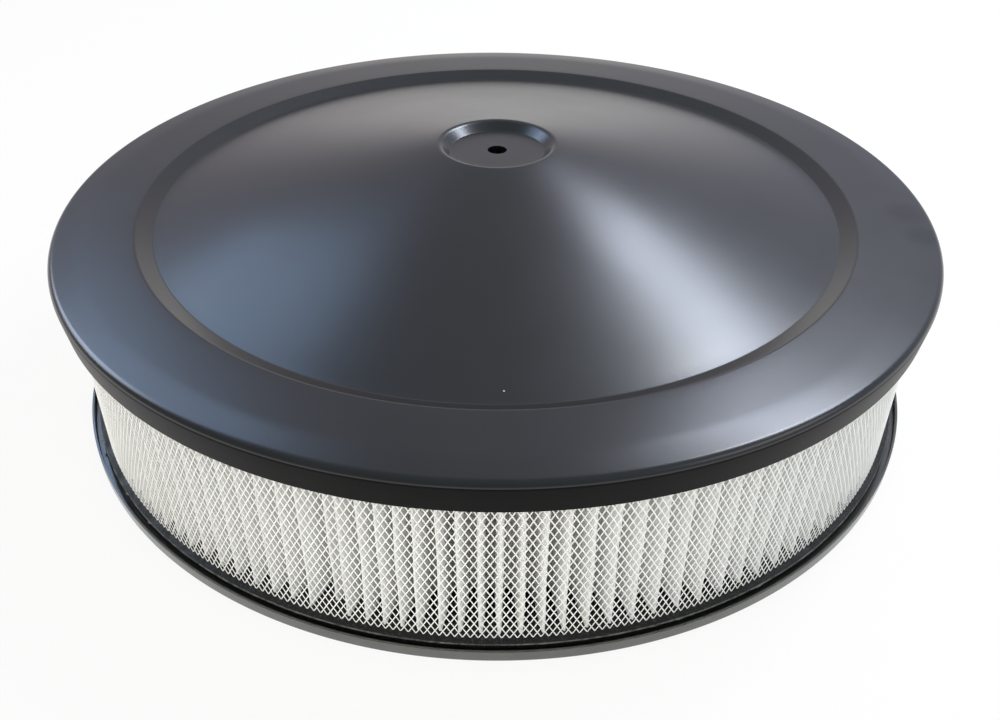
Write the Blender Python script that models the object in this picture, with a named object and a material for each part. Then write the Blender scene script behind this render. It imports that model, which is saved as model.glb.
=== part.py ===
"""Round air cleaner for a carburettor: a pressed lid and pan that clamp a pleated element.

Everything is turned about the Z axis. The pan rests on z = 0, its centre is raised over the
carburettor, and the lid lies on the element. Sizes are in millimetres, scaled to metres by MM.
"""
import math

import bmesh
import bpy

MM = 0.001

# Sheet metal and fits
SHEET = 0.8 * MM
SEAT_GAP = 0.3 * MM
RING_STEPS = 48
SHARP_ANGLE = math.radians(30)

# Element, a 3 inch high ring between two moulded caps
ELEMENT_HEIGHT = 76.2 * MM
CAP_WIDTH = 24.2 * MM
CAP_HEIGHT = 5.6 * MM
CAP_RIDGE_HEIGHT = 3.3 * MM
CAP_RIDGE_STEP = 0.7 * MM
CAP_SIDE_CLEARANCE = 2.1 * MM
SCREEN_SETBACK_OUTER = 2.2 * MM
SCREEN_SETBACK_INNER = 0.9 * MM
SCREEN_THICKNESS = 0.6 * MM
SCREEN_STRAND = 1.1 * MM
SCREEN_TO_PAPER = 0.5 * MM
OUTER_SCREEN_COLUMNS = 40
OUTER_SCREEN_HALF_ROWS = 3
INNER_SCREEN_COLUMNS = 30
INNER_SCREEN_HALF_ROWS = 2
PLEATS = 138
INNER_FOLD_WIDTH = 3.8 * MM
PAPER_THICKNESS = 0.6 * MM

# Lid, 14 inches across
LID_RADIUS = 177.8 * MM
SKIRT_DEPTH = 12.8 * MM
SKIRT_LEAN = 1.5 * MM
SKIRT_EDGE_BEND = 1.9 * MM
LOCATING_CLEARANCE = 3.9 * MM
LID_STEP_WIDTH = 6.4 * MM
LID_STEP_DROP = 3.1 * MM
LID_STEP_BEND = 2.0 * MM
LID_FOOT_BEND = 0.8 * MM
CONE_RISE = 25.1 * MM
DISH_RIM_RADIUS = 23.5 * MM
DISH_RIM_BEND = 1.6 * MM
DISH_WALL_WIDTH = 4.2 * MM
DISH_DEPTH = 3.5 * MM
DISH_FLOOR_BEND = 0.8 * MM
STUD_HOLE_RADIUS = 3.97 * MM

# Pan, with its centre raised over the carburettor's air horn
PAN_SETBACK = 0.7 * MM
PAN_LIP_HEIGHT = 5.1 * MM
PAN_LIP_BEND = 0.3 * MM
PAN_RISE = 22.0 * MM
PAN_WALL_WIDTH = 9.0 * MM
PAN_WALL_BEND = 3.0 * MM
PAN_WEB_FALL = 2.5 * MM
HORN_RADIUS = 65.1 * MM
NECK_CLEARANCE = 0.4 * MM
NECK_HEIGHT = 12.0 * MM
NECK_BEND = 2.0 * MM
NECK_FLAT_WIDTH = 11.0 * MM
GASKET_WIDTH = 8.0 * MM
GASKET_THICKNESS = 1.6 * MM

# Heights and radii that follow from the sizes above
ELEMENT_BOTTOM = SHEET + SEAT_GAP
ELEMENT_TOP = ELEMENT_BOTTOM + ELEMENT_HEIGHT
PAPER_BOTTOM = ELEMENT_BOTTOM + CAP_HEIGHT + SEAT_GAP
PAPER_TOP = ELEMENT_TOP - CAP_HEIGHT - SEAT_GAP
LID_TOP = ELEMENT_TOP + SEAT_GAP + SHEET
PAN_RADIUS = LID_RADIUS - PAN_SETBACK
CAP_RADIUS = PAN_RADIUS - SHEET - CAP_SIDE_CLEARANCE
ELEMENT_BORE_RADIUS = CAP_RADIUS - CAP_WIDTH
LOCATING_RADIUS = ELEMENT_BORE_RADIUS - LOCATING_CLEARANCE
OUTER_SCREEN_RADIUS = CAP_RADIUS - SCREEN_SETBACK_OUTER
INNER_SCREEN_RADIUS = ELEMENT_BORE_RADIUS + SCREEN_SETBACK_INNER + SCREEN_THICKNESS
PAPER_OUTER_RADIUS = OUTER_SCREEN_RADIUS - SCREEN_THICKNESS - SCREEN_TO_PAPER
PAPER_INNER_RADIUS = INNER_SCREEN_RADIUS + SCREEN_TO_PAPER
NECK_RADIUS = HORN_RADIUS + NECK_CLEARANCE


def clear_scene():
    for old in list(bpy.data.objects):
        bpy.data.objects.remove(old, do_unlink=True)


def finish(name, colour, roughness, metallic=0.0):
    """A plain surface finish: colour, roughness and how metallic it is."""
    material = bpy.data.materials.new(name)
    material.use_nodes = True
    shader = material.node_tree.nodes["Principled BSDF"]
    shader.inputs["Base Color"].default_value = (*colour, 1.0)
    shader.inputs["Roughness"].default_value = roughness
    shader.inputs["Metallic"].default_value = metallic
    return material


def place(name, shape, material):
    """One named sub-part in the scene, shaded smooth up to its sharp edges."""
    mesh = bpy.data.meshes.new(name)
    shape.to_mesh(mesh)
    shape.free()
    mesh.shade_smooth()
    mesh.set_sharp_from_angle(angle=SHARP_ANGLE)
    mesh.materials.append(material)
    part = bpy.data.objects.new(name, mesh)
    bpy.context.scene.collection.objects.link(part)
    return part


def bend(before, corner, after, inside_radius, steps):
    """Points and right-hand normals round one bend of a sheet, worked out from its inside radius."""
    come = ((corner[0] - before[0]), (corner[1] - before[1]))
    leave = ((after[0] - corner[0]), (after[1] - corner[1]))
    heading_in = math.atan2(come[1], come[0])
    turn = math.atan2(come[0] * leave[1] - come[1] * leave[0], come[0] * leave[0] + come[1] * leave[1])
    turns_right = turn < 0
    radius = inside_radius + SHEET if turns_right else inside_radius
    tangent = radius * math.tan(abs(turn) / 2)
    side = -1 if turns_right else 1
    along = (math.cos(heading_in), math.sin(heading_in))
    centre = (corner[0] - tangent * along[0] - side * radius * along[1],
              corner[1] - tangent * along[1] + side * radius * along[0])
    run = []
    for step in range(steps + 1):
        heading = heading_in + turn * step / steps
        normal = (math.sin(heading), -math.cos(heading))
        point = (centre[0] + side * radius * normal[0], centre[1] + side * radius * normal[1])
        run.append((point, normal))
    return run


def end_of_sheet(point, towards):
    """The cut edge of a sheet, square to the way that it runs."""
    length = math.hypot(towards[0], towards[1])
    normal = (towards[1] / length, -towards[0] / length)
    return point, normal


def sheet_outline(first, bends, last):
    """Closed section of a pressed sheet. Its bends are (corner, inside radius, steps), and the
    sheet's thickness lies to the right of the run from first to last."""
    corners = [first] + [item[0] for item in bends] + [last]
    run = [end_of_sheet(first, (corners[1][0] - first[0], corners[1][1] - first[1]))]
    for index, (corner, inside_radius, steps) in enumerate(bends, start=1):
        run += bend(corners[index - 1], corner, corners[index + 1], inside_radius, steps)
    run.append(end_of_sheet(last, (last[0] - corners[-2][0], last[1] - corners[-2][1])))
    near_side = [point for point, _ in run]
    far_side = [(point[0] + SHEET * normal[0], point[1] + SHEET * normal[1]) for point, normal in run]
    return near_side + far_side[::-1]


def turned(name, section, material):
    """A ring turned from a closed section of (radius, height) points."""
    shape = bmesh.new()
    corners = [shape.verts.new((radius, 0.0, height)) for radius, height in section]
    edges = [shape.edges.new((corner, corners[index - 1])) for index, corner in enumerate(corners)]
    bmesh.ops.spin(shape, geom=corners + edges, cent=(0, 0, 0), axis=(0, 0, 1), angle=math.tau,
                   steps=RING_STEPS, use_merge=True)
    bmesh.ops.recalc_face_normals(shape, faces=list(shape.faces))
    return place(name, shape, material)


def top_cover(material):
    """Pressed lid: stud hole, dished centre, shallow cone, locating step, flat rim and skirt."""
    foot_height = LID_TOP - LID_STEP_DROP
    rim_height = foot_height + CONE_RISE
    floor_height = rim_height - DISH_DEPTH
    floor_radius = DISH_RIM_RADIUS - DISH_WALL_WIDTH
    skirt_turn = math.pi / 2 + math.atan2(SKIRT_LEAN, SKIRT_DEPTH)
    edge_corner = LID_RADIUS + (SKIRT_EDGE_BEND + SHEET) * (math.tan(skirt_turn / 2) - 1)
    bends = [
        ((floor_radius, floor_height), DISH_FLOOR_BEND, 1),
        ((DISH_RIM_RADIUS, rim_height), DISH_RIM_BEND, 2),
        ((LOCATING_RADIUS - LID_STEP_WIDTH, foot_height), LID_FOOT_BEND, 1),
        ((LOCATING_RADIUS, LID_TOP), LID_STEP_BEND, 2),
        ((edge_corner, LID_TOP), SKIRT_EDGE_BEND, 3),
    ]
    hole_edge = (STUD_HOLE_RADIUS, floor_height)
    skirt_edge = (LID_RADIUS - SKIRT_LEAN, LID_TOP - SKIRT_DEPTH)
    return turned("top_cover", sheet_outline(hole_edge, bends, skirt_edge), material)


def base_pan(material):
    """Pressed pan: upturned lip, seat for the element, raised web and the neck round the horn."""
    wall_top = PAN_RISE - PAN_WEB_FALL
    bends = [
        ((PAN_RADIUS, 0.0), PAN_LIP_BEND, 2),
        ((LOCATING_RADIUS, 0.0), PAN_WALL_BEND, 2),
        ((LOCATING_RADIUS - PAN_WALL_WIDTH, wall_top), PAN_WALL_BEND, 2),
        ((NECK_RADIUS + NECK_FLAT_WIDTH, PAN_RISE), PAN_WALL_BEND, 1),
        ((NECK_RADIUS, PAN_RISE), NECK_BEND, 2),
    ]
    lip_edge = (PAN_RADIUS, PAN_LIP_HEIGHT)
    neck_edge = (NECK_RADIUS, PAN_RISE + NECK_HEIGHT)
    return turned("base_pan", sheet_outline(lip_edge, bends, neck_edge), material)


def neck_gasket(material):
    """Flat ring under the neck, which seals on the carburettor's flange."""
    top = PAN_RISE - SEAT_GAP
    bottom = top - GASKET_THICKNESS
    outer = NECK_RADIUS + GASKET_WIDTH
    section = [(outer, top), (outer, bottom), (NECK_RADIUS, bottom), (NECK_RADIUS, top)]
    return turned("neck_gasket", section, material)


def end_cap(name, seat, towards_paper, material):
    """Moulded ring that holds the paper's ends. It sits on seat and reaches towards_paper (+1 or -1),
    with a moulding ridge round its outer side."""
    ridge = seat + towards_paper * CAP_RIDGE_HEIGHT
    face = seat + towards_paper * CAP_HEIGHT
    section = [
        (ELEMENT_BORE_RADIUS, face),
        (CAP_RADIUS - 2 * CAP_RIDGE_STEP, face),
        (CAP_RADIUS - CAP_RIDGE_STEP, ridge + towards_paper * CAP_RIDGE_STEP),
        (CAP_RADIUS, ridge),
        (CAP_RADIUS, seat),
        (ELEMENT_BORE_RADIUS, seat),
    ]
    return turned(name, section, material)


def ring_point(radius, angle, height):
    return radius * math.cos(angle), radius * math.sin(angle), height


def pleat_line(tip_radius, fold_radius, fold_width):
    """One side of the folded paper in plan: each pleat has a sharp tip outside and a wide fold inside."""
    pitch = math.tau / PLEATS
    half_fold = fold_width / 2 / fold_radius
    line = []
    for pleat in range(PLEATS):
        tip = pleat * pitch
        line.append((tip_radius, tip))
        line.append((fold_radius, tip + pitch / 2 - half_fold))
        line.append((fold_radius, tip + pitch / 2 + half_fold))
    return line


def pleated_paper(material):
    """The folded paper, one closed ring of sheet that stands between the caps. Its two walls lie
    together behind each sharp tip, until they are a sheet's thickness apart on each side."""
    fold_radius = PAPER_INNER_RADIUS + PAPER_THICKNESS
    wall_spread = math.pi * fold_radius / PLEATS - INNER_FOLD_WIDTH / 2
    wall_angle = math.atan2(wall_spread, PAPER_OUTER_RADIUS - fold_radius)
    solid_tip = PAPER_THICKNESS / math.sin(wall_angle)
    outside = pleat_line(PAPER_OUTER_RADIUS, fold_radius, INNER_FOLD_WIDTH)
    inside = pleat_line(PAPER_OUTER_RADIUS - solid_tip, PAPER_INNER_RADIUS,
                        INNER_FOLD_WIDTH + 2 * PAPER_THICKNESS)
    shape = bmesh.new()
    outer_row = [shape.verts.new(ring_point(radius, angle, PAPER_BOTTOM)) for radius, angle in outside]
    inner_row = [shape.verts.new(ring_point(radius, angle, PAPER_BOTTOM)) for radius, angle in inside]
    for index, corner in enumerate(outer_row):
        following = (index + 1) % len(outer_row)
        shape.faces.new((corner, inner_row[index], inner_row[following], outer_row[following]))
    raised = bmesh.ops.extrude_face_region(shape, geom=list(shape.faces))
    upper = [item for item in raised["geom"] if isinstance(item, bmesh.types.BMVert)]
    bmesh.ops.translate(shape, verts=upper, vec=(0.0, 0.0, PAPER_TOP - PAPER_BOTTOM))
    bmesh.ops.recalc_face_normals(shape, faces=list(shape.faces))
    return place("pleated_paper", shape, material)


def screen_crossing(shape, radius, columns, level, half_rows, column):
    """The corners of one crossing of two strands: left, right, below and above its middle."""
    pitch = math.tau / columns
    level_height = (PAPER_TOP - PAPER_BOTTOM) / half_rows
    slope = math.atan2(radius * pitch / 2, level_height)
    half_width = SCREEN_STRAND / 2 / math.cos(slope) / radius
    half_height = SCREEN_STRAND / 2 / math.sin(slope)
    angle = (column + (level % 2) / 2) * pitch
    height = PAPER_BOTTOM + level * level_height
    crossing = {
        "left": shape.verts.new(ring_point(radius, angle - half_width, height)),
        "right": shape.verts.new(ring_point(radius, angle + half_width, height)),
    }
    if level > 0:
        crossing["below"] = shape.verts.new(ring_point(radius, angle, height - half_height))
    if level < half_rows:
        crossing["above"] = shape.verts.new(ring_point(radius, angle, height + half_height))
    return crossing


def diamond_screen(name, radius, columns, half_rows, material):
    """Expanded metal screen rolled into a ring: slanting strands that meet at staggered crossings."""
    shape = bmesh.new()
    rows = [[screen_crossing(shape, radius, columns, level, half_rows, column) for column in range(columns)]
            for level in range(half_rows + 1)]
    order = ("left", "below", "right", "above")
    for row in rows:
        for crossing in row:
            shape.faces.new([crossing[side] for side in order if side in crossing])
    for level in range(half_rows):
        for column in range(columns):
            here = rows[level][column]
            up_right = rows[level + 1][(column + level % 2) % columns]
            up_left = rows[level + 1][(column + level % 2 - 1) % columns]
            shape.faces.new((here["right"], up_right["below"], up_right["left"], here["above"]))
            shape.faces.new((here["left"], here["above"], up_left["right"], up_left["below"]))
    part = place(name, shape, material)
    wall = part.modifiers.new("sheet thickness", "SOLIDIFY")
    wall.thickness = SCREEN_THICKNESS
    wall.offset = -1.0
    wall.use_even_offset = True
    return part


def build():
    clear_scene()
    black_coat = finish("satin black powder coat", (0.012, 0.013, 0.015), 0.32)
    grey_coat = finish("dark grey powder coat", (0.060, 0.061, 0.055), 0.34)
    black_rubber = finish("moulded black urethane", (0.015, 0.015, 0.014), 0.55)
    white_paper = finish("resin treated filter paper", (0.78, 0.77, 0.72), 0.9)
    white_coat = finish("white coated screen", (0.80, 0.80, 0.77), 0.6)
    cork = finish("pressed gasket fibre", (0.16, 0.12, 0.08), 0.9)
    top_cover(black_coat)
    base_pan(grey_coat)
    end_cap("bottom_end_cap", ELEMENT_BOTTOM, 1, black_rubber)
    end_cap("top_end_cap", ELEMENT_TOP, -1, black_rubber.copy())
    pleated_paper(white_paper)
    diamond_screen("outer_screen", OUTER_SCREEN_RADIUS, OUTER_SCREEN_COLUMNS, OUTER_SCREEN_HALF_ROWS,
                   white_coat)
    diamond_screen("inner_screen", INNER_SCREEN_RADIUS, INNER_SCREEN_COLUMNS, INNER_SCREEN_HALF_ROWS,
                   white_coat.copy())
    neck_gasket(cork)


build()
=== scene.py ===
# %% [markdown]
# This notebook dresses a round air cleaner, the drum that sits on top of a carburettor. Its solids
# come from a imported model in metres, so they are loaded first and everything else is placed by
# them.

# %% Load the frame
import math

import bpy
import numpy as np
from mathutils import Matrix, Vector


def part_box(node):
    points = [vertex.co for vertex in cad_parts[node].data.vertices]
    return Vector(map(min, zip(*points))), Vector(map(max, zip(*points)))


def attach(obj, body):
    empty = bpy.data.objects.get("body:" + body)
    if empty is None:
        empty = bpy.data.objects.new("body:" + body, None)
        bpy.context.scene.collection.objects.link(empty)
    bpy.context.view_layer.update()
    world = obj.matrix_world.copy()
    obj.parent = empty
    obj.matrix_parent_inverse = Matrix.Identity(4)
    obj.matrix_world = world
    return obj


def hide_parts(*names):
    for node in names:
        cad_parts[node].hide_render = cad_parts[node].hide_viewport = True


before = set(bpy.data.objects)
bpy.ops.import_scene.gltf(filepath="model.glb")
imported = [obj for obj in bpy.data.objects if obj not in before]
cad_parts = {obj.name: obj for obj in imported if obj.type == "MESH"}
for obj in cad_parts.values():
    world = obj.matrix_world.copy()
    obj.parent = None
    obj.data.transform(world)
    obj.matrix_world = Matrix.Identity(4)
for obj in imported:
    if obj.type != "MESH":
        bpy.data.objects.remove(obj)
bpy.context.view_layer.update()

MM = 0.001
TURN = 2 * math.pi
print("solids:", sorted(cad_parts))

# %% [markdown]
# The radii and heights that the pieces share come from the solids' own boxes, so that a piece can't
# drift off its seat. A ring's box gives its outer radius and its lowest and highest point.

# %% Measure the solids


def ring_size(node):
    """Outer radius, lowest height and highest height of a ring about the Z axis, in millimetres."""
    low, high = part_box(node)
    return max(high.x, high.y) / MM, low.z / MM, high.z / MM


LID_RADIUS, SKIRT_LOW, LID_HIGH = ring_size("top_cover")
PAN_RADIUS, PAN_LOW, NECK_HIGH = ring_size("base_pan")
CAP_RADIUS, CAP_SEAT, CAP_FACE = ring_size("bottom_end_cap")
PAPER_RADIUS = ring_size("pleated_paper")[0]
SCREEN_RADIUS = ring_size("outer_screen")[0]
INNER_SCREEN_RADIUS = ring_size("inner_screen")[0]
print("lid radius %.1f, skirt edge %.1f, dish rim %.1f" % (LID_RADIUS, SKIRT_LOW, LID_HIGH))
print("pan radius %.1f, cap radius %.1f, paper %.1f" % (PAN_RADIUS, CAP_RADIUS, PAPER_RADIUS))

# %% [markdown]
# Every sheet metal piece here is a thin wall turned about an axis. It could be a Screw modifier on
# a drawn curve, but then each bend would be hand placed. A small function is used instead: it takes
# the corners of the sheet and the inside radius of each bend, as a press shop's drawing gives them,
# and returns both faces of the sheet as one closed outline.

# %% Outline of a bent sheet
SHEET = 0.8


def bend_points(before, corner, after, inside_radius, steps):
    """Points on an arc that is tangent to both legs, and the unit normals to the right of the run.
    The heading turns evenly from the first leg to the second, and a point lies one radius from
    the arc's centre along its normal."""
    come = np.subtract(corner, before)
    leave = np.subtract(after, corner)
    turn = math.atan2(come[0] * leave[1] - come[1] * leave[0], come @ leave)
    side = 1.0 if turn < 0 else -1.0
    radius = inside_radius + (SHEET if turn < 0 else 0.0)
    tangent = radius * math.tan(abs(turn) / 2)
    along = come / np.linalg.norm(come)
    left = np.array([-along[1], along[0]])
    centre = np.asarray(corner) - tangent * along - side * radius * left
    heading = math.atan2(along[1], along[0]) + turn * np.linspace(0, 1, steps + 1)
    normal = np.stack([np.sin(heading), -np.cos(heading)], 1)
    return centre - side * radius * normal, normal


def leg_points(start, end, step):
    """Points along a straight leg, evenly spaced no more than a step apart, without its two ends."""
    count = max(int(np.linalg.norm(np.subtract(end, start)) / step), 1)
    share = np.linspace(0, 1, count + 1)[1:-1, None]
    return start * (1 - share) + end * share


def sheet_outline(first, bends, last, step=3.0):
    """Closed outline of a bent sheet: out along one face and back along the other. The second face
    is the first one moved by the sheet's thickness along the normal."""
    corners = [first] + [bend[0] for bend in bends] + [last]
    points, normals = [np.array([first], float)], [None]
    start = np.subtract(corners[1], first) / np.linalg.norm(np.subtract(corners[1], first))
    normals[0] = np.array([[start[1], -start[0]]])
    for index, (corner, inside_radius, steps) in enumerate(bends, start=1):
        arc, arc_normals = bend_points(corners[index - 1], corner, corners[index + 1], inside_radius, steps)
        leg = leg_points(points[-1][-1], arc[0], step)
        points += [leg, arc]
        normals += [np.repeat(arc_normals[:1], len(leg), 0), arc_normals]
    leg = leg_points(points[-1][-1], np.array(last, float), step)
    points += [leg, np.array([last], float)]
    normals += [np.repeat(normals[-1][-1:], len(leg) + 1, 0)]
    near = np.concatenate(points)
    far = near + SHEET * np.concatenate(normals)
    return np.concatenate([near, far[::-1]])


print("one press bend has", len(bend_points((0, 0), (10, 0), (10, 10), 2.0, 6)[0]), "points")

# %% [markdown]
# A grid of points that closes on itself both ways is a torus, and a grid that closes round the axis
# only is a tube. One helper makes either of them, with its faces pointing outwards, and puts it in
# the scene as a piece that rides with the model and stands for one of its solids.

# %% Mesh helpers


def grid_faces(rows, columns, first=0):
    """Quads of a grid that closes on itself both ways. Face (i, j) joins point (i, j) to its next
    neighbours round the axis and along the outline."""
    i, j = np.meshgrid(np.arange(rows), np.arange(columns), indexing="ij")
    i2, j2 = (i + 1) % rows, (j + 1) % columns
    corners = [i * columns + j, i2 * columns + j, i2 * columns + j2, i * columns + j2]
    return np.stack([corner.ravel() for corner in corners], 1) + first


def signed_volume(points, quads):
    """Six times the volume inside the faces, positive when they point outwards."""
    a, b, c, d = (points[quads[:, k]] for k in range(4))
    return np.einsum("ij,ij->", a, np.cross(b, c)) + np.einsum("ij,ij->", a, np.cross(c, d))


def add_piece(name, points, quads, material, slot, *nodes, sharp=35.0):
    """A piece of the dressed model from arrays of points in millimetres and of quads."""
    if signed_volume(points, quads) < 0:
        quads = quads[:, ::-1]
    mesh = bpy.data.meshes.new(name)
    mesh.vertices.add(len(points))
    mesh.vertices.foreach_set("co", (points * MM).astype(np.float32).ravel())
    mesh.loops.add(quads.size)
    mesh.loops.foreach_set("vertex_index", quads.astype(np.int32).ravel())
    mesh.polygons.add(len(quads))
    mesh.polygons.foreach_set("loop_start", np.arange(0, quads.size, 4, dtype=np.int32))
    mesh.update(calc_edges=True)
    mesh.validate()
    mesh.shade_smooth()
    mesh.set_sharp_from_angle(angle=math.radians(sharp))
    mesh.materials.append(material)
    piece = bpy.data.objects.new(name, mesh)
    bpy.context.scene.collection.objects.link(piece)
    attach(piece, "root")
    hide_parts(*nodes)
    print("%s: %d triangles" % (name, 2 * len(quads)))
    return piece


def turned(outline, segments, raise_by=None):
    """A closed outline of (radius, height) turned about Z: x is radius times cosine, y is radius
    times sine. raise_by gives a small extra height for each radius and angle."""
    angle = np.arange(segments)[:, None] * TURN / segments
    radius, height = outline[None, :, 0], outline[None, :, 1]
    lift = 0.0 if raise_by is None else raise_by(radius, angle)
    grid = np.stack(np.broadcast_arrays(radius * np.cos(angle), radius * np.sin(angle), height + lift), -1)
    return grid.reshape(-1, 3), grid_faces(segments, len(outline))


print("helpers ready")

# %% [markdown]
# Materials are built from nodes. A short helper adds a node, sets its sockets and returns it, so
# that each finish below reads from top to bottom. All patterns read Object coordinates, which are
# metres here, so a scale of 1000 is one feature per millimetre.

# %% Node helpers


def start_finish(name, colour, roughness, **sockets):
    """A material with its Principled shader set to one colour and roughness."""
    material = bpy.data.materials.new(name)
    material.use_nodes = True
    shader = material.node_tree.nodes["Principled BSDF"]
    shader.inputs["Base Color"].default_value = (*colour, 1.0)
    shader.inputs["Roughness"].default_value = roughness
    for socket, value in sockets.items():
        shader.inputs[socket.replace("_", " ")].default_value = value
    return material, material.node_tree, shader


def add_node(tree, kind, **settings):
    """One node, with its sockets or its own settings given by name."""
    made = tree.nodes.new(kind)
    for name, value in settings.items():
        socket = name.replace("_", " ")
        if socket in made.inputs:
            made.inputs[socket].default_value = value
        else:
            setattr(made, name, value)
    return made


def noise(tree, scale, detail=2.0, roughness=0.5):
    """Noise on Object coordinates, from 0 to 1."""
    place = add_node(tree, "ShaderNodeTexCoord")
    made = add_node(tree, "ShaderNodeTexNoise", Scale=scale, Detail=detail, Roughness=roughness)
    tree.links.new(place.outputs["Object"], made.inputs["Vector"])
    return made.outputs["Fac"]


def spread(tree, value, low, high, start=0.3, stop=0.7, eased="SMOOTHSTEP"):
    """A value between low and high, as the input goes from start to stop, eased at both ends."""
    made = add_node(tree, "ShaderNodeMapRange", interpolation_type=eased)
    for socket, amount in (("From Min", start), ("From Max", stop), ("To Min", low), ("To Max", high)):
        made.inputs[socket].default_value = amount
    tree.links.new(value, made.inputs["Value"])
    return made.outputs["Result"]


def tint(tree, value, first, second):
    """A colour that runs from the first to the second as the value goes from 0 to 1."""
    made = add_node(tree, "ShaderNodeMix", data_type="RGBA")
    made.inputs["A"].default_value = (*first, 1.0)
    made.inputs["B"].default_value = (*second, 1.0)
    tree.links.new(value, made.inputs["Factor"])
    return made.outputs["Result"]


def roughen(tree, shader, height, distance, strength=1.0):
    """Bump from a height between 0 and 1, where distance is the depth in millimetres."""
    made = add_node(tree, "ShaderNodeBump", Strength=strength, Distance=distance * MM)
    tree.links.new(height, made.inputs["Height"])
    tree.links.new(made.outputs["Normal"], shader.inputs["Normal"])
    return made


print("node helpers ready")

# %% [markdown]
# The lid and the pan are steel with a baked powder coat. Powder melts into a skin that is smooth but
# not flat, and a fine grain shows in its highlights. The grain is bump here, because it is only
# microns deep, and the roughness drifts a little over the sheet. The lid is black and glossy on
# top, and the pan is dark grey. The skirt's coat is painted shade: darker and duller than the top,
# with far less reflection. Each coat is the same short recipe with other colours, so one function
# makes all three.

# %% Powder coats


def distance_from(tree, x, y):
    """Distance of a surface point from the upright line through (x, y), in metres."""
    place = add_node(tree, "ShaderNodeTexCoord")
    flat = add_node(tree, "ShaderNodeVectorMath", operation="MULTIPLY")
    flat.inputs[1].default_value = (1.0, 1.0, 0.0)
    tree.links.new(place.outputs["Object"], flat.inputs[0])
    away = add_node(tree, "ShaderNodeVectorMath", operation="DISTANCE")
    away.inputs[1].default_value = (x * MM, y * MM, 0.0)
    tree.links.new(flat.outputs[0], away.inputs[0])
    return away.outputs["Value"]


def spot(tree, x, y, radius, soft):
    """One inside a circle on the lid, seen from above, falling to zero at its edge."""
    return spread(tree, distance_from(tree, x, y), 1.0, 0.0, (radius - soft) * MM, (radius + soft) * MM)


def combine(tree, operation, first, second):
    """Two values added, multiplied or compared."""
    made = add_node(tree, "ShaderNodeMath", operation=operation)
    for socket, value in zip(made.inputs, (first, second)):
        if isinstance(value, float):
            socket.default_value = value
        else:
            tree.links.new(value, socket)
    return made.outputs[0]


def powder_coat(name, dark, pale, roughness, ior, gloss=0.5):
    """A coat mottled between two near colours, with grain of half a millimetre in the bump, and a
    roughness that drifts slowly over the sheet. Its tone is returned too."""
    material, tree, shader = start_finish(name, dark, roughness, IOR=ior, Specular_IOR_Level=gloss)
    mottle = spread(tree, noise(tree, 60.0, 3.0), 0.0, 1.0)
    tone = tint(tree, mottle, dark, pale)
    tree.links.new(tone, shader.inputs["Base Color"])
    drift = spread(tree, noise(tree, 25.0, 2.0), roughness - 0.012, roughness + 0.008)
    tree.links.new(drift, shader.inputs["Roughness"])
    roughen(tree, shader, noise(tree, 2200.0, 1.0), 0.006)
    return material, tone


lid_coat, lid_tone = powder_coat("lid powder coat", (0.0040, 0.0043, 0.0050),
                                 (0.0052, 0.0056, 0.0066), 0.264, 1.60)
# Painted shade: the skirt's coat is darker than the lid's and reflects far less.
shaded_skirt_coat = powder_coat("skirt coat with painted shade", (0.0030, 0.0030, 0.0028), (0.0042, 0.0042, 0.0039),
                         0.34, 1.5, 0.07)[0]
pan_coat = powder_coat("pan powder coat", (0.055, 0.056, 0.050), (0.070, 0.071, 0.063), 0.16, 1.75)[0]
print("coats:", lid_coat.name, "and", shaded_skirt_coat.name, "and", pan_coat.name)

# %% [markdown]
# Fingers have left two dull patches on the rim at the right, and a crumb of dust lies on the cone.
# Skin grease takes some of the shine, so the patches darken the reflection and leave the colour
# as it is. The crumb is only a pale spot in the colour, about two thirds of a millimetre across,
# and needs no mesh. Each mark is given by its x and y, its radius and how soft its edge is.

# %% Finger marks and dust on the lid
UPPER_SMEAR = (167.0, -17.6, 7.5, 4.0)
LOWER_SMEAR = (167.7, -36.5, 6.5, 4.0)
CRUMB = (2.6, -134.4, 0.32, 0.10)
lid_tree = lid_coat.node_tree
lid_shader = lid_tree.nodes["Principled BSDF"]
smear = combine(lid_tree, "MAXIMUM", spot(lid_tree, *UPPER_SMEAR), spot(lid_tree, *LOWER_SMEAR))
patchy = spread(lid_tree, noise(lid_tree, 260.0, 2.0), 0.65, 1.0)
dulled = tint(lid_tree, combine(lid_tree, "MULTIPLY", smear, patchy), (1.0, 1.0, 1.0), (0.62, 0.62, 0.64))
lid_tree.links.new(dulled, lid_shader.inputs["Specular Tint"])
dust = spot(lid_tree, *CRUMB)
dusted = tint(lid_tree, dust, (0.0, 0.0, 0.0), (0.45, 0.45, 0.43))
lid_tree.links.new(lid_tone, dusted.node.inputs["A"])
lid_tree.links.new(dusted, lid_shader.inputs["Base Color"])
print("marks at radius %.0f and %.0f mm" % (math.hypot(*UPPER_SMEAR[:2]), math.hypot(*CRUMB[:2])))
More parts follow.
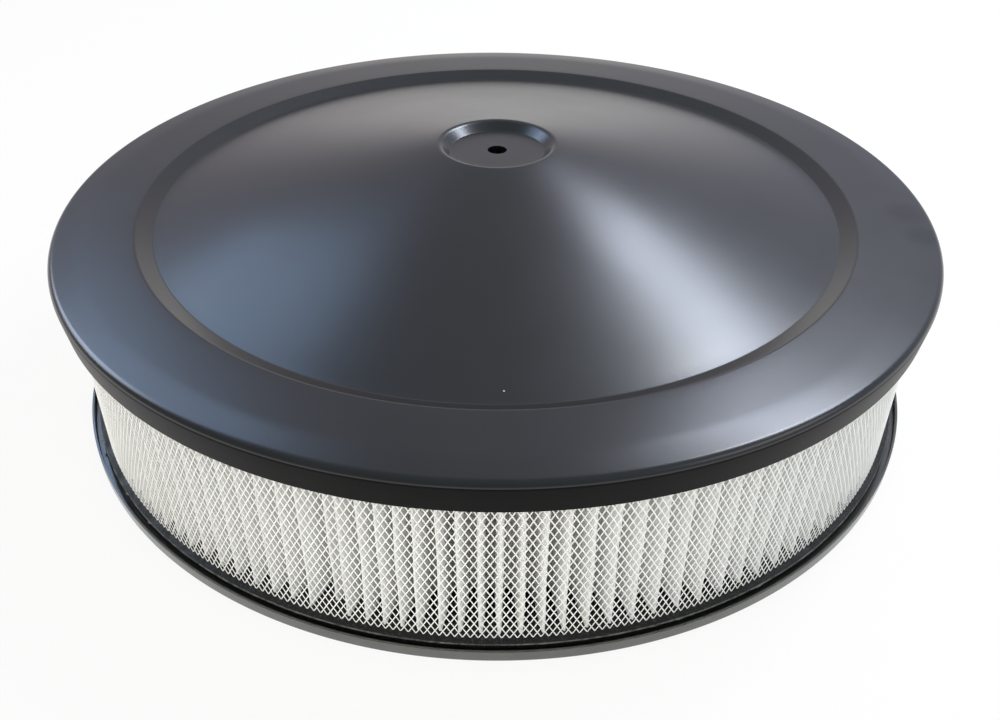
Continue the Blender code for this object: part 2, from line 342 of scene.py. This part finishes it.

# %% [markdown]
# The lid is one pressing. From the stud hole outwards it has a flat dish floor, the dish's wall and
# rim, a shallow cone, a step that centres it in the element, a flat rim and a skirt. The outer
# centimetre of the rim rolls off by four degrees before it turns down. The bends get many points,
# as the highlights run along them. A real pressing is never quite flat, so the cone and rim get
# waves of a few hundredths of a millimetre, which fade out at the fixed heights. The faces of the
# skirt take the darker, duller coat, which is painted shade.

# %% Lid
LID_TOP = 78.4
LOCATING_RADIUS = 146.1
STEP_WIDTH = 6.4
STEP_DROP = 3.1
CONE_RISE = 25.1
DISH_RADIUS = 23.5
DISH_WALL_WIDTH = 4.2
DISH_DEPTH = 3.5
STUD_HOLE_RADIUS = 3.97
SKIRT_LEAN = 1.5
STEP_FOOT = (LOCATING_RADIUS - STEP_WIDTH, LID_TOP - STEP_DROP)
DISH_RIM = (DISH_RADIUS, STEP_FOOT[1] + CONE_RISE)
DISH_FLOOR = (DISH_RIM[0] - DISH_WALL_WIDTH, DISH_RIM[1] - DISH_DEPTH)
SKIRT_EDGE = (LID_RADIUS - SKIRT_LEAN, SKIRT_LOW)
EDGE_BEND = 1.9
ROLL_START = 167.0
ROLL_SLOPE = math.radians(4.0)
skirt_lean = math.atan2(LID_RADIUS - SKIRT_EDGE[0], LID_TOP - SKIRT_EDGE[1])
skirt_turn = math.pi / 2 + skirt_lean - ROLL_SLOPE
edge_reach = math.cos(ROLL_SLOPE) * math.tan(skirt_turn / 2) + math.sin(ROLL_SLOPE) - 1
edge_corner = LID_RADIUS + (EDGE_BEND + SHEET) * edge_reach
edge_height = LID_TOP - (edge_corner - ROLL_START) * math.tan(ROLL_SLOPE)
# Each bend is a corner, an inside radius and a number of steps.
lid_corners = [
    (DISH_FLOOR, 0.8, 6),
    (DISH_RIM, 2.35, 10),
    (STEP_FOOT, 0.8, 6),
    ((LOCATING_RADIUS, LID_TOP), 2.0, 8),
    ((ROLL_START, LID_TOP), 70.0, 10),
    ((edge_corner, edge_height), EDGE_BEND, 14),
]


def press_waves(radius, angle):
    """Slow waves round the lid: two sine terms of the angle, times a window that is zero at the
    dish, at the outer edge and at the skirt."""
    share = np.clip((radius - DISH_RIM[0]) / (LID_RADIUS - 3 - DISH_RIM[0]), 0, 1)
    window = np.sin(np.pi * share) ** 2
    return -0.03 * window * (1 + 0.6 * np.sin(3 * angle + 0.7) + 0.4 * np.sin(7 * angle + radius / 21))


LID_SEGMENTS = 512
LEG_STEP = 4.0
INSIDE_SKIRT = 172.0
lid_outline = sheet_outline((STUD_HOLE_RADIUS, DISH_FLOOR[1]), lid_corners, SKIRT_EDGE, LEG_STEP)
lid_points, lid_quads = turned(lid_outline, LID_SEGMENTS, press_waves)
lid = add_piece("lid_shell", lid_points, lid_quads, lid_coat, "lid_coat", "top_cover")
# The skirt's faces get the coat with painted shade.
lid.data.materials.append(shaded_skirt_coat)
middles = lid_points[lid_quads].mean(1)
below_bend = middles[:, 2] < LID_TOP - EDGE_BEND - SHEET
on_skirt = below_bend & (np.hypot(middles[:, 0], middles[:, 1]) > INSIDE_SKIRT)
lid.data.polygons.foreach_set("material_index", on_skirt.astype(np.int32))
print("skirt:", int(on_skirt.sum()), "faces in the duller coat")

# %% [markdown]
# The pan is pressed too. Its lip turns up round the element, which sits on the flat seat inside it,
# and the middle is raised so that the drum drops round the carburettor. The neck in the middle fits
# the air horn. Only the lip shows from the front, so the finest steps go there.

# %% Pan
NECK_RADIUS = 65.5
NECK_FLAT_WIDTH = 11.0
PAN_RISE = 22.0
PAN_WALL_WIDTH = 9.0
PAN_WEB_FALL = 2.5
PAN_LIP_HIGH = 4.7
PAN_SEGMENTS = 480
pan_corners = [
    ((PAN_RADIUS, PAN_LOW), 0.3, 6),
    ((LOCATING_RADIUS, PAN_LOW), 3.0, 8),
    ((LOCATING_RADIUS - PAN_WALL_WIDTH, PAN_RISE - PAN_WEB_FALL), 3.0, 8),
    ((NECK_RADIUS + NECK_FLAT_WIDTH, PAN_RISE), 3.0, 6),
    ((NECK_RADIUS, PAN_RISE), 2.0, 8),
]
pan_outline = sheet_outline((PAN_RADIUS, PAN_LIP_HIGH), pan_corners, (NECK_RADIUS, NECK_HIGH), LEG_STEP)
add_piece("pan_shell", *turned(pan_outline, PAN_SEGMENTS), pan_coat, "pan_coat", "base_pan")

# %% [markdown]
# The caps are soft urethane, cast in a mould round the ends of the paper. A cast edge is not sharp:
# it has a parting line, which stands out as a ridge with a ragged edge, and small tabs where the
# mould leaked. They could be sculpted, but a formula is enough: the ridge's radius gets noise from
# a few sine terms, and each tab is a narrow bell curve at its own place round the ring.

# %% Urethane finish
cap_urethane, cap_tree, cap_shader = start_finish("cast urethane", (0.016, 0.016, 0.015), 0.55, IOR=1.5,
                                                   Specular_IOR_Level=0.25)
cap_specks = spread(cap_tree, noise(cap_tree, 1400.0, 3.0), 0.0, 1.0, 0.50, 0.78)
urethane_tone = tint(cap_tree, cap_specks, (0.012, 0.012, 0.011), (0.060, 0.058, 0.053))
# A band round the ridge is painted paler in patches: a painted highlight along the parting line.
ridge = spread(cap_tree, distance_from(cap_tree, 0.0, 0.0), 0.0, 1.0, 173.75 * MM, 174.05 * MM)
ridge = combine(cap_tree, "MULTIPLY", ridge, spread(cap_tree, noise(cap_tree, 500.0, 2.0), 0.25, 1.0))
painted_ridge_highlight = tint(cap_tree, ridge, (0.0, 0.0, 0.0), (0.17, 0.165, 0.15))
cap_tree.links.new(urethane_tone, painted_ridge_highlight.node.inputs["A"])
cap_tree.links.new(painted_ridge_highlight, cap_shader.inputs["Base Color"])
cap_gloss = spread(cap_tree, noise(cap_tree, 300.0, 2.0), 0.42, 0.65)
cap_tree.links.new(cap_gloss, cap_shader.inputs["Roughness"])
roughen(cap_tree, cap_shader, noise(cap_tree, 900.0, 3.0), 0.12)
print("finish:", cap_urethane.name)

# %% End caps
CAP_SECTION = np.array([
    (150.0, 0.0), (150.0, 2.6), (150.0, 5.0), (150.3, 5.5), (150.9, 5.6), (156.0, 5.6), (162.0, 5.6),
    (168.0, 5.6), (169.8, 5.5), (170.8, 5.1), (171.5, 4.6), (172.2, 4.25), (173.0, 4.0), (173.6, 3.8),
    (174.0, 3.65), (174.2, 3.5), (174.2, 3.3), (173.9, 3.1), (173.6, 2.8), (173.5, 2.0), (173.5, 0.8),
    (173.3, 0.2), (172.9, 0.0), (165.0, 0.0), (157.0, 0.0)])
FLASH_TABS = np.radians([-64.0, -52.5, -46.0, 17.5, 20.5, 31.0, 66.0, 118.0, 171.0, -121.0]) - TURN / 4
TAB_SIZES = np.array([0.9, 0.5, 0.7, 0.4, 0.5, 0.7, 0.4, 0.6, 0.5, 0.6])
TAB_ANGLE = 0.0045
RIDGE_HEIGHT = 3.45
RIDGE_SPREAD = 0.35


def ragged(angle, phase):
    """Sum of five sine terms of the angle with whole numbers of waves, between about -1 and 1."""
    waves = np.array([41, 97, 173, 263, 389])
    share = np.array([0.30, 0.25, 0.20, 0.15, 0.10])
    return np.sum(share * np.sin(angle[..., None] * waves + phase * waves), -1)


def cast_cap(seat, towards_paper, phase, segments=900):
    """A cast ring: its section is stood on the seat, and its ridge is pushed out by the ragged
    sum and by a bell curve at each tab."""
    angle = np.arange(segments) * TURN / segments
    apart = (angle[:, None] - FLASH_TABS[None] - phase + math.pi) % TURN - math.pi
    tabs = np.sum(TAB_SIZES * np.exp(-(apart / TAB_ANGLE) ** 2), 1)
    push = (0.12 * ragged(angle, phase) - 0.06 + tabs)[:, None]
    radius, height = CAP_SECTION[None, :, 0], CAP_SECTION[None, :, 1]
    on_ridge = np.exp(-((height - RIDGE_HEIGHT) / RIDGE_SPREAD) ** 2) * (radius > 173)
    on_face = (height > 4.1) * (radius > 151) * 0.10
    radius = radius + push * on_ridge
    height = height + on_face * (ragged(angle, phase + 1.3)[:, None] - 1.0)
    height = seat + towards_paper * height
    grid = np.stack([radius * np.cos(angle[:, None]), radius * np.sin(angle[:, None]), height], -1)
    return grid.reshape(-1, 3), grid_faces(segments, len(CAP_SECTION))


ELEMENT_TOP = ring_size("top_end_cap")[2]
add_piece("lower_cap", *cast_cap(CAP_SEAT, 1, 0.0), cap_urethane, "cap_rubber", "bottom_end_cap", sharp=50)
add_piece("upper_cap", *cast_cap(ELEMENT_TOP, -1, 2.1), cap_urethane, "cap_rubber", "top_end_cap", sharp=50)

# %% [markdown]
# The paper is one long strip, folded back and forth and joined into a ring. It fans out, so its
# outer folds are sharp creases where both walls lie together, and its inner folds stay a little
# round. No such ring is even: where the strip's ends meet, pleats are bunched and one sits back.
# So the spacing comes first. The degrees from one pleat to the next are given at a few azimuths,
# the running total of their inverse counts the pleats, and each whole number on it is a crease.

# %% Pleat spacing
PLEATS = 138
SPACING_AZIMUTH = np.array([-180, -75, -26, -20, -14, -10, -8, -1, 5, 12, 20, 28, 36, 75, 180.0])
SPACING_DEGREES = np.array([2.6, 2.7, 2.65, 2.4, 2.2, 1.8, 2.3, 2.2, 2.45, 2.6, 2.95, 2.75, 3.1, 2.9, 2.6])
azimuth = np.linspace(-180, 180, 7201)
running = np.concatenate([[0.0], np.cumsum(np.diff(azimuth) / np.interp(azimuth[1:], SPACING_AZIMUTH,
                                                                        SPACING_DEGREES))])
FIRST_CREASE = 0.64
start = np.interp(FIRST_CREASE, azimuth, running)
share = (np.arange(PLEATS) + start * PLEATS / running[-1]) % PLEATS
crease = np.sort(np.interp(share * running[-1] / PLEATS, running, azimuth))
spacing_noise = np.random.default_rng(7)
crease = np.radians(crease + spacing_noise.uniform(-0.10, 0.10, PLEATS)) - TURN / 4
TOUCHES_SCREEN = -0.45
SHORT_AZIMUTH = -18.6
SHORT_BY = 4.5
set_back = spacing_noise.uniform(TOUCHES_SCREEN, 0.1, PLEATS)
set_back[np.argmin(abs(np.degrees(crease + TURN / 4) - SHORT_AZIMUTH))] = SHORT_BY
print("%d creases, %.2f to %.2f degrees apart" % (
    PLEATS, np.degrees(np.diff(crease)).min(), np.degrees(np.diff(crease)).max()))

# %% [markdown]
# The paper is nearly white, with fibres in its tone and in its bump. Its deep folds get painted
# shade: a tone darker and creamier than at the creases by the screen, so the tone also follows
# the radius.

# %% Paper finish
filter_paper, paper_tree, paper_shader = start_finish("pleated filter paper", (0.93, 0.92, 0.89), 0.85,
                                                      IOR=1.4)
fibres = spread(paper_tree, noise(paper_tree, 1500.0, 4.0, 0.65), 0.0, 1.0)
fibre_tone = tint(paper_tree, fibres, (0.94, 0.935, 0.91), (0.97, 0.965, 0.95))
# Painted shade: the paper turns darker and creamier inward of a radius of 152 to 160 mm.
inside = spread(paper_tree, distance_from(paper_tree, 0.0, 0.0), 1.0, 0.0, 152.0 * MM, 160.0 * MM)
painted_fold_shade = tint(paper_tree, inside, (0.0, 0.0, 0.0), (0.86, 0.84, 0.76))
paper_tree.links.new(fibre_tone, painted_fold_shade.node.inputs["A"])
paper_tree.links.new(painted_fold_shade, paper_shader.inputs["Base Color"])
roughen(paper_tree, paper_shader, noise(paper_tree, 1100.0, 4.0), 0.10)
print("finish:", filter_paper.name)

# %% [markdown]
# Seen from above, a pleat is a narrow spear. Its two walls run nearly side by side, about 3 mm
# apart, and the folds between pleats are wide and round. So half a pleat goes from the crease down
# a wall and then across half of the fold. Each point of that run has a depth, a share of the half
# pitch and an offset sideways, so one small table serves every pleat, however wide its fold is.
# The paper's two faces get a table each, and they meet at its top and bottom edges.

# %% Pleated paper
OUTER_FACE = np.array([
    (0.00, 0.0, 0.00), (0.05, 0.0, 0.24), (0.30, 0.0, 0.46), (1.0, 0.0, 0.64), (3.4, 0.0, 0.90),
    (8.2, 0.0, 1.20), (13.0, 0.0, 1.44), (16.2, 0.0, 1.62), (17.6, 0.25, 1.45), (18.15, 0.62, 0.80)])
OUTER_MIDDLE = (18.25, 1.0, 0.0)
INNER_FACE = np.array([
    (3.70, 0.0, 0.00), (3.80, 0.0, 0.05), (4.4, 0.0, 0.12), (6.0, 0.0, 0.26), (8.4, 0.0, 0.46),
    (10.8, 0.0, 0.64), (13.2, 0.0, 0.80), (16.4, 0.0, 1.02), (18.0, 0.25, 1.00), (18.7, 0.62, 0.55)])
FOLD_DEPTH = 18.85
INNER_MIDDLE = (FOLD_DEPTH, 1.0, 0.0)


def strip_line(table, middle):
    """Radius and angle of the folded strip, all the way round: right half of each pleat, the
    middle of the fold, then the left half of the next pleat, which is the same table backwards."""
    here, following = crease, np.append(crease[1:], crease[0] + TURN)
    half_gap = ((following - here) / 2)[:, None]
    depth, part, offset = (np.append(table[:, k], middle[k])[None] for k in range(3))
    tip_back = np.stack([set_back, np.roll(set_back, -1)], 0)[:, :, None]
    tip = PAPER_RADIUS - tip_back * (1 - depth / FOLD_DEPTH)
    radius = tip - depth
    right = here[:, None] + part * half_gap + offset / radius[0]
    left = following[:, None] - part * half_gap - offset / radius[1]
    radii = np.concatenate([radius[0], radius[1][:, -2:0:-1]], 1)
    angles = np.concatenate([right, left[:, -2:0:-1]], 1)
    return radii.ravel(), angles.ravel()


def folded_paper(low, high, levels=11):
    """The strip's outer face carried up from low to high and its inner face back down again, each
    point moved a little sideways by a slow wave of the height, different for each pleat."""
    faces = [strip_line(OUTER_FACE, OUTER_MIDDLE), strip_line(INNER_FACE, INNER_MIDDLE)]
    height = np.linspace(low, high, levels)[:, None]
    sheets = []
    for radius, angle in faces:
        sway = 0.16 / radius * np.sin(TURN * (height - low) / 58.0 + 5.1 * angle[None] * 9)
        sway = sway + 0.07 / radius * np.sin(height / 4.3 + 31 * angle[None])
        turn = angle[None] + sway
        across, along = radius * np.cos(turn), radius * np.sin(turn)
        sheets.append(np.stack(np.broadcast_arrays(across, along, height), -1))
    grid = np.concatenate([sheets[0], sheets[1][::-1]], 0).transpose(1, 0, 2)
    return grid.reshape(-1, 3), grid_faces(grid.shape[0], grid.shape[1])


SUNK = 0.35
add_piece("folded_paper", *folded_paper(CAP_FACE - SUNK, ELEMENT_TOP - (CAP_FACE - CAP_SEAT) + SUNK),
          filter_paper, "filter_paper", "pleated_paper", sharp=60)

# %% [markdown]
# The screens are white coated expanded metal: slanting strands that cross in diamonds about 2.5 mm
# wide and 4.5 mm high. An image with holes would be cheap, but it has no thickness. Wireframe on a
# grid would make six times the faces. Each strand is a flat hexagon carried along a steep helix
# instead, once for the strands that lean right and once for those that lean left.

# %% Screen finish
screen_coat, screen_tree, screen_shader = start_finish("white screen coat", (0.90, 0.895, 0.865), 0.6,
                                                       IOR=1.45)
coat_tone = spread(screen_tree, noise(screen_tree, 260.0, 3.0), 0.0, 1.0)
screen_tree.links.new(tint(screen_tree, coat_tone, (0.87, 0.865, 0.83), (0.92, 0.915, 0.89)),
                      screen_shader.inputs["Base Color"])
roughen(screen_tree, screen_shader, noise(screen_tree, 1800.0, 2.0), 0.03)
print("finish:", screen_coat.name)

# %% Diamond screens
HEXAGON = TURN * np.arange(6) / 6
LEANS_APART = 0.06


def lean_of_strands(columns, half_rows, lean, radius, low, high, width, depth, steps):
    """Strands of one lean. A strand's middle line turns by half a column for each half row as it
    climbs, and its hexagon lies across that line: width along the wall, depth along the radius."""
    climb = np.linspace(0, 1, steps + 1)[None, :, None]
    first = TURN * np.arange(columns)[:, None, None] / columns
    turn_by = lean * math.pi / columns * half_rows
    angle = first + turn_by * climb
    middle = radius - depth / 2 - (LEANS_APART if lean > 0 else 0.0)
    slope = math.atan2(middle * turn_by, high - low)
    across = width / 2 * np.cos(HEXAGON)[None, None]
    outwards = middle + depth / 2 * np.sin(HEXAGON)[None, None]
    turned_by = angle + across * math.cos(slope) / middle
    height = low + (high - low) * climb - across * math.sin(slope)
    x, y = outwards * np.cos(turned_by), outwards * np.sin(turned_by)
    return np.stack(np.broadcast_arrays(x, y, height), -1)


def strand_faces(strands, rings):
    """Six side quads for each step of each strand, and two quads that close each of its ends."""
    s, r, k = np.meshgrid(np.arange(strands), np.arange(rings - 1), np.arange(6), indexing="ij")
    base, upper = (s * rings + r) * 6, (s * rings + r + 1) * 6
    side = np.stack([base + k, base + (k + 1) % 6, upper + (k + 1) % 6, upper + k], -1).reshape(-1, 4)
    foot = (np.arange(strands) * rings * 6)[:, None]
    head = foot + (rings - 1) * 6
    ends = [foot + [3, 2, 1, 0], foot + [5, 4, 3, 0], head + [0, 1, 2, 3], head + [0, 3, 4, 5]]
    return np.concatenate([side, *ends])


def diamond_screen(columns, half_rows, radius, low, high, width=0.42, depth=0.27, steps=12):
    """Both leans of strands in one mesh."""
    leans = [lean_of_strands(columns, half_rows, lean, radius, low, high, width, depth, steps)
             for lean in (1, -1)]
    points = np.concatenate([lean.reshape(-1, 3) for lean in leans])
    return points, strand_faces(2 * columns, steps + 1)


OUTER_COLUMNS = 428
INNER_COLUMNS = 375
HALF_ROWS = 30
STRANDS_SUNK = 1.5
screen_low = CAP_FACE - STRANDS_SUNK
screen_high = ELEMENT_TOP - (CAP_FACE - CAP_SEAT) + STRANDS_SUNK
outer_strands = diamond_screen(OUTER_COLUMNS, HALF_ROWS, SCREEN_RADIUS, screen_low, screen_high)
inner_strands = diamond_screen(INNER_COLUMNS, HALF_ROWS, INNER_SCREEN_RADIUS, screen_low, screen_high)
add_piece("outer_diamond_screen", *outer_strands, screen_coat, "screen_coat", "outer_screen", sharp=80)
add_piece("inner_diamond_screen", *inner_strands, screen_coat, "screen_coat", "inner_screen", sharp=80)

# %% [markdown]
# The gasket under the neck is pressed from cork and rubber crumbs. Its corners are cut square and
# only just broken, and the crumbs show as brown patches a millimetre or two wide.

# %% Gasket
gasket_cork, cork_tree, cork_shader = start_finish("pressed cork", (0.16, 0.11, 0.065), 0.9)
crumbs = add_node(cork_tree, "ShaderNodeTexVoronoi", Scale=620.0)
cork_place = add_node(cork_tree, "ShaderNodeTexCoord")
cork_tree.links.new(cork_place.outputs["Object"], crumbs.inputs["Vector"])
cork_tone = spread(cork_tree, crumbs.outputs["Distance"], 0.0, 1.0, 0.15, 0.75)
cork_tree.links.new(tint(cork_tree, cork_tone, (0.21, 0.145, 0.085), (0.055, 0.042, 0.030)),
                    cork_shader.inputs["Base Color"])
roughen(cork_tree, cork_shader, crumbs.outputs["Distance"], 0.10)
gasket_outer, gasket_low, gasket_high = ring_size("neck_gasket")
BREAK = 0.15
GASKET_SEGMENTS = 240
gasket_outline = np.array([
    (NECK_RADIUS + BREAK, gasket_low), (gasket_outer - BREAK, gasket_low),
    (gasket_outer, gasket_low + BREAK), (gasket_outer, gasket_high - BREAK),
    (gasket_outer - BREAK, gasket_high), (NECK_RADIUS + BREAK, gasket_high),
    (NECK_RADIUS, gasket_high - BREAK), (NECK_RADIUS, gasket_low + BREAK)])
add_piece("cork_gasket", *turned(gasket_outline, GASKET_SEGMENTS), gasket_cork, "gasket_fibre",
          "neck_gasket", sharp=30)

# %% [markdown]
# The camera stands where the photographer stood, above the front edge and looking down at the dish.
# It is placed by a position in metres and three angles in radians. The picture's middle sits a
# little high, which is a small vertical shift.

# %% Camera
camera_data = bpy.data.cameras.new("viewpoint")
camera_data.sensor_width = 36.0
camera_data.lens = 35.46
camera_data.shift_y = -0.0219
camera_data.clip_start = 0.01
camera = bpy.data.objects.new("viewpoint", camera_data)
bpy.context.scene.collection.objects.link(camera)
pitch, yaw, roll = 0.6091, 0.005, 0.0094
viewpoint = Vector((0.0, -0.37581, 0.26481))
forward = Vector((math.sin(yaw) * math.cos(pitch), math.cos(yaw) * math.cos(pitch), -math.sin(pitch)))
across = Vector((math.cos(yaw), -math.sin(yaw), 0.0))
upward = across.cross(forward)
side_axis = math.cos(roll) * across + math.sin(roll) * upward
top_axis = math.cos(roll) * upward - math.sin(roll) * across
turned_to = Matrix((side_axis, top_axis, -forward)).transposed().to_4x4()
camera.matrix_world = Matrix.Translation(viewpoint) @ turned_to
bpy.context.scene.camera = camera
print("lens %.1f mm" % camera_data.lens)

# %% [markdown]
# The room is plain: a pale floor under pale walls and ceiling. The coat is a mirror that gives back
# a twentieth of what it sees, so the room is drawn in it. Mixing plain white into what the camera
# and reflections see of the floor keeps it white, and the rest of it takes the drum's shadow.

# %% Floor
floor_material, floor_tree, floor_shader = start_finish("pale floor", (0.93, 0.89, 0.82), 0.9)
SHADOW_SHARE = 0.10
paths = add_node(floor_tree, "ShaderNodeLightPath")
seen = combine(floor_tree, "MAXIMUM", paths.outputs["Is Camera Ray"], paths.outputs["Is Glossy Ray"])
seen = combine(floor_tree, "MAXIMUM", seen, paths.outputs["Is Transmission Ray"])
white_share = combine(floor_tree, "MULTIPLY", seen, 1.0 - SHADOW_SHARE)
plain_white = add_node(floor_tree, "ShaderNodeEmission")
blend = add_node(floor_tree, "ShaderNodeMixShader")
floor_tree.links.new(white_share, blend.inputs[0])
floor_tree.links.new(floor_shader.outputs[0], blend.inputs[1])
floor_tree.links.new(plain_white.outputs[0], blend.inputs[2])
floor_tree.links.new(blend.outputs[0], floor_tree.nodes["Material Output"].inputs["Surface"])
FLOOR_HALF = 6.0
BELOW_PAN = 0.0002
floor_mesh = bpy.data.meshes.new("floor")
floor_mesh.from_pydata([(-FLOOR_HALF, -FLOOR_HALF, 0), (FLOOR_HALF, -FLOOR_HALF, 0),
                        (FLOOR_HALF, FLOOR_HALF, 0), (-FLOOR_HALF, FLOOR_HALF, 0)], [], [(0, 1, 2, 3)])
floor_mesh.materials.append(floor_material)
floor = bpy.data.objects.new("floor", floor_mesh)
bpy.context.scene.collection.objects.link(floor)
floor.location.z = -BELOW_PAN
print("floor: %.0f m across" % (2 * FLOOR_HALF))

# %% [markdown]
# The room's own light is a sum of slow gradients: an even part, more from the ceiling, a cool part
# from the right, some from behind, and a brighter band low down straight behind the drum. A
# direction in the world has three parts, x to the right, y behind and z up, which give the shares.
# The coat shows these gradients. The camera itself sees a plain white wall in their place.

# %% World
world = bpy.data.worlds.new("soft room")
bpy.context.scene.world = world
world.use_nodes = True
room_tree = world.node_tree
direction = add_node(room_tree, "ShaderNodeTexCoord")
parts = add_node(room_tree, "ShaderNodeSeparateXYZ")
room_tree.links.new(direction.outputs["Generated"], parts.inputs[0])
behind = spread(room_tree, parts.outputs["Y"], 0.0, 1.0, 0.88, 0.99, "LINEAR")
low_band = combine(room_tree, "POWER", behind, 1.5)
ROOM_LIGHT = [
    (spread(room_tree, parts.outputs["Z"], 0.0, 1.0, 0.0, 1.0, "LINEAR"), (0.14, 0.20, 0.23)),
    (spread(room_tree, parts.outputs["X"], 0.0, 1.0, 0.0, 1.0, "LINEAR"), (0.19, 0.27, 0.37)),
    (spread(room_tree, parts.outputs["Y"], 0.0, 1.0, 0.0, 1.0, "LINEAR"), (0.27, 0.22, 0.28)),
    (low_band, (0.60, 0.60, 0.52)),
]
even_part = add_node(room_tree, "ShaderNodeRGB")
even_part.outputs[0].default_value = (0.24, 0.24, 0.24, 1.0)
total = even_part.outputs[0]
for amount, colour in ROOM_LIGHT:
    added = add_node(room_tree, "ShaderNodeVectorMath", operation="ADD")
    room_tree.links.new(total, added.inputs[0])
    room_tree.links.new(tint(room_tree, amount, (0.0, 0.0, 0.0), colour), added.inputs[1])
    total = added.outputs[0]
room = room_tree.nodes["Background"]
room_tree.links.new(total, room.inputs["Color"])
backdrop = add_node(room_tree, "ShaderNodeBackground", Color=(1.0, 1.0, 1.0, 1.0))
room_paths = add_node(room_tree, "ShaderNodeLightPath")
looked_at = combine(room_tree, "MAXIMUM", room_paths.outputs["Is Camera Ray"],
                    room_paths.outputs["Is Transmission Ray"])
either = add_node(room_tree, "ShaderNodeMixShader")
room_tree.links.new(looked_at, either.inputs[0])
room_tree.links.new(room.outputs[0], either.inputs[1])
room_tree.links.new(backdrop.outputs[0], either.inputs[2])
room_tree.links.new(either.outputs[0], room_tree.nodes["World Output"].inputs["Surface"])
print("room: an even part and %d gradients" % len(ROOM_LIGHT))

# %% [markdown]
# The lamps are soft rectangles, 0.9 to 2.5 metres from the drum. Two behind on the right light it
# and lie on the cone as one broad highlight. Three more are only seen in the coat and light
# nothing: a soft one behind on the left lies on the cone, and a cool one on the left and a warm
# one on the right run along the rounded edge. Two wide weak ones at the sides of the front open up
# the paper, and the coat doesn't show them.

# %% Lamps


def soft_lamp(name, azimuth, elevation, distance, width, height, radiance, colour, gloss=True, lit=True):
    """A rectangular lamp that faces the drum. Azimuth is from straight behind and grows to the
    right. Power is the radiance times the area times pi. A lamp may be only seen or only felt."""
    data = bpy.data.lights.new(name, "AREA")
    data.shape = "RECTANGLE"
    data.size, data.size_y = width, height
    data.energy = radiance * math.pi * width * height
    data.color = colour
    lamp = bpy.data.objects.new(name, data)
    bpy.context.scene.collection.objects.link(lamp)
    a, e = math.radians(azimuth), math.radians(elevation)
    lamp.location = Vector((math.sin(a) * math.cos(e), math.cos(a) * math.cos(e), math.sin(e))) * distance
    lamp.rotation_euler = lamp.location.to_track_quat("Z", "Y").to_euler()
    lamp.visible_glossy, lamp.visible_diffuse = gloss, lit
    print("%s: %.0f W" % (name, data.energy))


soft_lamp("softbox right", 53.6, 51.3, 0.90, 0.61, 0.15, 14.2, (0.78, 0.85, 1.0))
soft_lamp("softbox high right", 49.8, 56.8, 1.74, 0.26, 0.17, 34.0, (0.955, 0.98, 1.0))
soft_lamp("softbox left", -56.1, 46.1, 0.90, 0.54, 0.38, 2.62, (0.43, 0.65, 1.0), lit=False)
soft_lamp("window left", -68.0, 33.0, 1.15, 0.60, 0.42, 5.5, (0.72, 0.82, 1.0), lit=False)
soft_lamp("window right", 117.9, 31.0, 1.21, 0.65, 0.34, 1.70, (1.0, 0.88, 0.79), lit=False)
soft_lamp("fill left", 228.0, 17.0, 2.5, 2.60, 1.50, 3.15, (1.0, 0.965, 0.92), gloss=False)
soft_lamp("fill right", 134.0, 17.0, 2.5, 2.00, 1.50, 1.9, (1.0, 0.965, 0.90), gloss=False)

# %% [markdown]
# Colours should come out as they are written, so the view transform is Standard.

# %% Finish
bpy.context.scene.view_settings.view_transform = "Standard"
